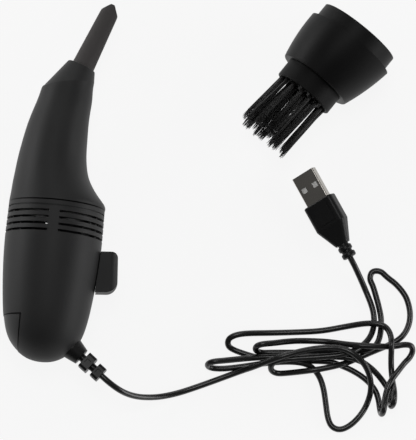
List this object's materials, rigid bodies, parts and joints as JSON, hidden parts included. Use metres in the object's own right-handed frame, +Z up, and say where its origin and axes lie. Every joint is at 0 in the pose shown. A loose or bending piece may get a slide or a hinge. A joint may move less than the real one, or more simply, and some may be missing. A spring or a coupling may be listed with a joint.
{
  "type": "desktop mini vacuum cleaner",
  "caption": "Hand-sized vacuum cleaner with a pull-off bent nose and crevice nozzle, a slide switch, a USB-A lead and a separate round brush head, laid out on a table.",
  "frame": {"origin": "on the table, below the middle of the vacuum and brush head together", "axes": "+Z up from the table; +Y towards the vacuum's nose side; +X from the vacuum towards the brush head, the longest extent"},
  "size_m": [0.1965, 0.204, 0.0462],
  "materials": {
    "black_abs": "satin, fine moulded texture",
    "corner_black": "satin",
    "nozzle_tpe": "matt, soft",
    "knob_black": "semi-gloss",
    "soft_pvc": "semi-gloss",
    "cord_jacket": "semi-gloss",
    "bristle_nylon": "fine fibres",
    "plated_steel": "bright nickel",
    "motor_steel": "zinc plated",
    "ferrite": "matt",
    "lamination": "dull",
    "copper_wire": "enamelled",
    "bronze": "oiled",
    "gold_contact": "bright",
    "natural_nylon": "satin",
    "board_green": "gloss",
    "capacitor_blue": "gloss",
    "lead_insulation": "semi-gloss",
    "filter_cloth": "felted",
    "screw_steel": "black zinc",
    "white_pbt": "satin"
  },
  "bodies": {
    "housing": {"upper_shell": "black_abs", "lower_shell": "black_abs", "corner_cover": "corner_black", "housing_screws": "screw_steel", "filter_frame": "white_pbt", "filter_bag": "filter_cloth", "intake_plate": "corner_black", "bulkhead": "corner_black", "motor_screws": "screw_steel", "motor_can": "motor_steel", "motor_end_bell": "natural_nylon", "motor_magnets": "ferrite", "motor_brushes": "gold_contact", "front_bush": "bronze", "rear_bush": "bronze", "circuit_board": "board_green", "capacitor": "capacitor_blue", "switch_body": "motor_steel", "supply_leads": "lead_insulation", "motor_leads": "lead_insulation", "strain_relief": "soft_pvc", "cord_stub": "cord_jacket", "cord_stop": "soft_pvc", "power_cord": "cord_jacket", "cord_hank": "cord_jacket", "plug_cord": "cord_jacket", "plug_overmould": "soft_pvc", "plug_shell": "plated_steel", "plug_tongue": "white_pbt", "plug_contacts": "gold_contact"},
    "rotor": {"impeller": "corner_black", "motor_shaft": "motor_steel", "armature_core": "lamination", "armature_winding": "copper_wire", "commutator": "bronze"},
    "switch": {"switch_knob": "knob_black", "switch_plate": "natural_nylon", "switch_actuator": "white_pbt"},
    "nose": {"nose_cover": "black_abs"},
    "nozzle": {"nozzle": "nozzle_tpe"},
    "brush": {"brush_cup": "black_abs", "bristle_block": "corner_black", "bristle_tufts": "bristle_nylon"}
  },
  "joints": [
    {"name": "fan_spin", "type": "hinge", "parent": "housing", "child": "rotor", "pos_m": [-0.06735, -0.012, 0.0231], "axis": [-0.0976, -0.9952, 0], "continuous": true},
    {"name": "switch_slide", "type": "slide", "parent": "housing", "child": "switch", "axis": [0.0976, 0.9952, 0], "range_m": [0, 0.003]},
    {"name": "nose_pull", "type": "slide", "parent": "housing", "child": "nose", "axis": [0.0976, 0.9952, 0], "range_m": [0, 0.015]},
    {"name": "nozzle_pull", "type": "slide", "parent": "nose", "child": "nozzle", "axis": [0.4344, 0.9007, 0], "range_m": [0, 0.012]},
    {"name": "brush_draw", "type": "slide", "parent": "housing", "child": "brush", "axis": [-0.6252, -0.7804, 0], "range_m": [0, 0.02]}
  ]
}
